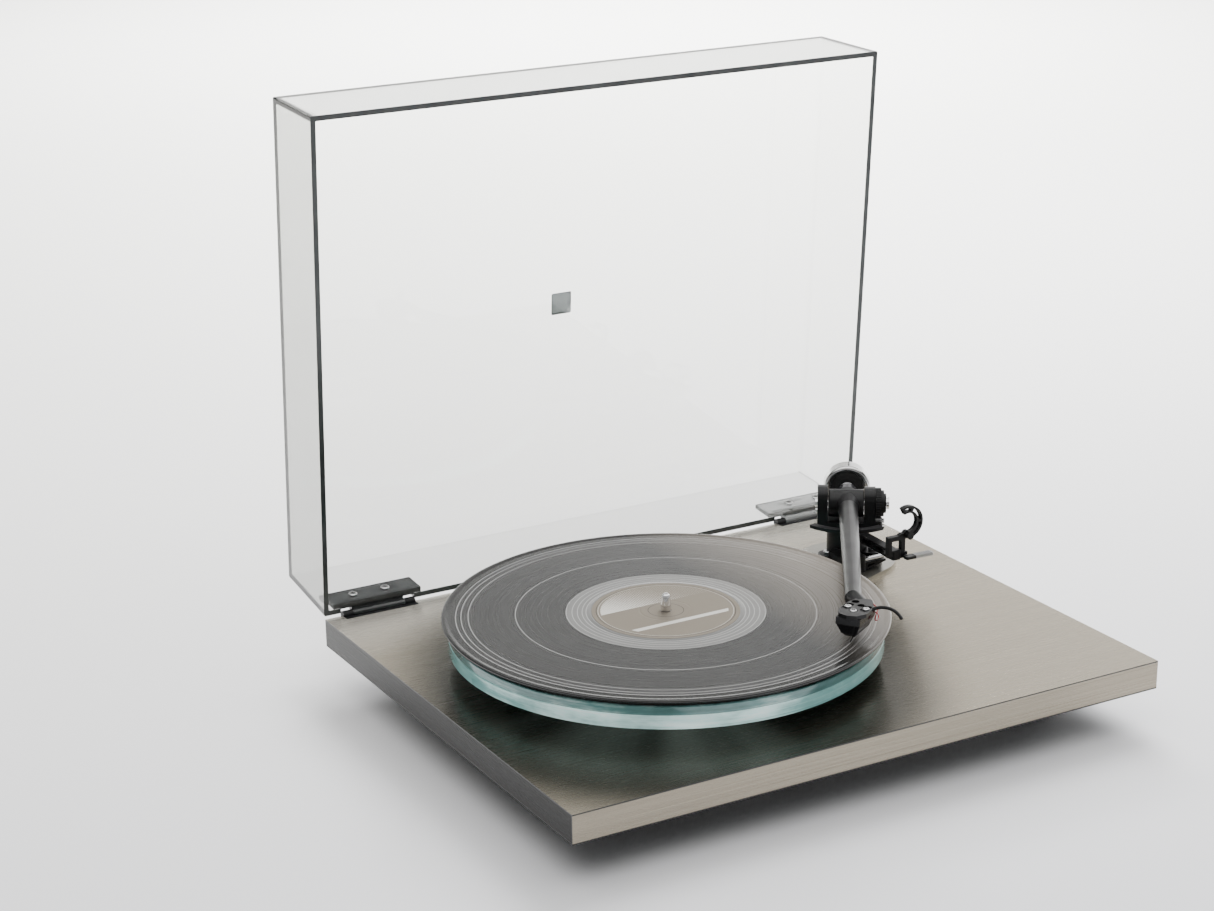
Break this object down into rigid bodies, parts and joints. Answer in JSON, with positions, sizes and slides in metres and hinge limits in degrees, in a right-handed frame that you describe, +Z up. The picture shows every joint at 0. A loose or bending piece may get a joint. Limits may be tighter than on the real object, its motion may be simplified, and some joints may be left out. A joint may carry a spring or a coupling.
{
  "type": "turntable record player",
  "caption": "Belt-driven record player: flat plinth on feet, glass platter, pivoted tonearm with counterweight and lift, and a clear hinged lid shown open.",
  "frame": {"origin": "on the floor, under the middle of the whole object's box with the lid open", "axes": "+Z up along the platter spindle, +X to the right where the tonearm is, front edge towards -Y"},
  "size_m": [0.447, 0.4276, 0.408],
  "materials": {
    "brushed_laminate": "brushed champagne metallic laminate with a satin lacquer",
    "black_laminate": "black phenolic laminate",
    "light_core": "light board, unfinished, hidden under laminate",
    "brace_metal": "brushed, clear lacquered",
    "rubber_black": "matt moulded",
    "moulded_black": "fine moulded texture",
    "bearing_brass": "turned",
    "steel": "ground",
    "chrome": "polished",
    "pulley_metal": "turned",
    "teal_glass": "polished green-blue float glass, bonded in layers",
    "felt": "pressed wool felt",
    "vinyl": "pressed black vinyl with fine grooves",
    "label_paper": "uncoated printed paper, plain",
    "arm_black": "cast, satin black powder coat",
    "cartridge_gloss": "polished black moulding",
    "lead_wires": "coloured wire insulation",
    "clear_acrylic": "clear, slightly grey cast acrylic, polished edges",
    "smoked_acrylic": "smoked translucent",
    "lever_black": "steel rod with a flat grip, satin black coated",
    "platter_black": "reinforced moulding, turned faces"
  },
  "bodies": {
    "plinth": {"plinth_core": "light_core", "top_skin": "brushed_laminate", "bottom_skin": "black_laminate", "front_edge_band": "brushed_laminate", "rear_edge_band": "brushed_laminate", "left_edge_band": "brushed_laminate", "right_edge_band": "brushed_laminate", "top_brace": "brace_metal", "bottom_brace": "black_laminate", "plinth_screws": "steel", "foot_front_left": "moulded_black", "foot_front_right": "moulded_black", "foot_rear": "moulded_black", "foot_pads": "rubber_black", "switch_bezel": "moulded_black", "power_inlet": "moulded_black", "lead_gland": "rubber_black", "bearing_housing": "bearing_brass", "bearing_nut": "bearing_brass", "motor_can": "steel", "motor_cover": "moulded_black", "drive_belt": "rubber_black", "tonearm_base": "arm_black", "arm_base_screws": "chrome", "arm_rest": "moulded_black", "hinge_base_left": "moulded_black", "hinge_base_right": "moulded_black", "hinge_pins": "steel"},
    "lid": {"lid_cover": "clear_acrylic", "lid_badge": "smoked_acrylic", "hinge_leaf_left": "smoked_acrylic", "hinge_leaf_right": "smoked_acrylic", "hinge_leaf_screws": "chrome"},
    "platter": {"subplatter": "platter_black", "spindle": "chrome", "platter_lower_glass": "teal_glass", "platter_upper_glass": "teal_glass", "felt_mat": "felt", "record": "vinyl", "record_label": "label_paper"},
    "motor_rotor": {"motor_shaft": "steel", "motor_pulley": "pulley_metal"},
    "yoke": {"arm_yoke": "arm_black", "yoke_screws": "chrome", "dial_screw": "chrome"},
    "tonearm": {"arm_tube": "arm_black", "rear_stub": "chrome", "finger_lift": "arm_black", "cartridge_body": "cartridge_gloss", "stylus_assembly": "cartridge_gloss", "cartridge_screws": "chrome", "cartridge_leads": "lead_wires"},
    "weight": {"counterweight": "chrome", "counterweight_bush": "rubber_black"},
    "dial": {"tracking_dial": "moulded_black"},
    "bias": {"bias_slider": "chrome"},
    "cue": {"cue_lever": "lever_black"},
    "platform": {"lift_platform": "moulded_black"},
    "clip": {"arm_clip": "moulded_black"},
    "switch": {"power_switch": "moulded_black"}
  },
  "joints": [
    {"name": "lid_hinge", "type": "hinge", "parent": "plinth", "child": "lid", "pos_m": [0, 0.1462, 0.04772], "axis": [-1, 0, 0], "range_deg": [-86.35, 0]},
    {"name": "platter_spin", "type": "hinge", "parent": "plinth", "child": "platter", "pos_m": [-0.052, -0.0342, 0.048], "axis": [0, 0, 1], "continuous": true},
    {"name": "motor_spin", "type": "hinge", "parent": "plinth", "child": "motor_rotor", "pos_m": [-0.127, 0.0508, 0.048], "axis": [0, 0, 1], "continuous": true},
    {"name": "arm_swing", "type": "hinge", "parent": "plinth", "child": "yoke", "pos_m": [0.1536, 0.05, 0.0935], "axis": [0, 0, -1], "range_deg": [-31.4, 20]},
    {"name": "arm_lift", "type": "hinge", "parent": "yoke", "child": "tonearm", "pos_m": [0.1536, 0.05, 0.0935], "axis": [-0.8329, 0.5534, 0], "range_deg": [0, 2.9]},
    {"name": "weight_slide", "type": "slide", "parent": "tonearm", "child": "weight", "axis": [0.5532, 0.8327, -0.0227], "range_m": [-0.008, 0.005]},
    {"name": "tracking_dial", "type": "hinge", "parent": "yoke", "child": "dial", "pos_m": [0.1536, 0.05, 0.0935], "axis": [0.8329, -0.5534, 0], "range_deg": [-120, 150]},
    {"name": "bias_slide", "type": "slide", "parent": "plinth", "child": "bias", "axis": [1, 0, 0], "range_m": [-0.0025, 0.006]},
    {"name": "cue_lift", "type": "hinge", "parent": "plinth", "child": "cue", "pos_m": [0.16079, 0.04972, 0.0722], "axis": [-0.0384, -0.9993, 0], "range_deg": [0, 30]},
    {"name": "platform_lift", "type": "slide", "parent": "plinth", "child": "platform", "axis": [0, 0, 1], "range_m": [0, 0.0028]},
    {"name": "clip_swing", "type": "hinge", "parent": "plinth", "child": "clip", "pos_m": [0.16239, 0.04966, 0.0882], "axis": [-0.0384, -0.9993, 0], "range_deg": [0, 40]},
    {"name": "switch_rock", "type": "hinge", "parent": "plinth", "child": "switch", "pos_m": [-0.18, -0.1942, 0.031], "axis": [0, 1, 0], "range_deg": [0, 12]}
  ],
  "couplings": [
    {"joint": "motor_spin", "follows": "platter_spin", "ratio": 6.6216},
    {"joint": "platform_lift", "follows": "cue_lift", "m_per_rad": 0.005338},
    {"joint": "arm_lift", "follows": "cue_lift", "ratio": 0.09657}
  ]
}
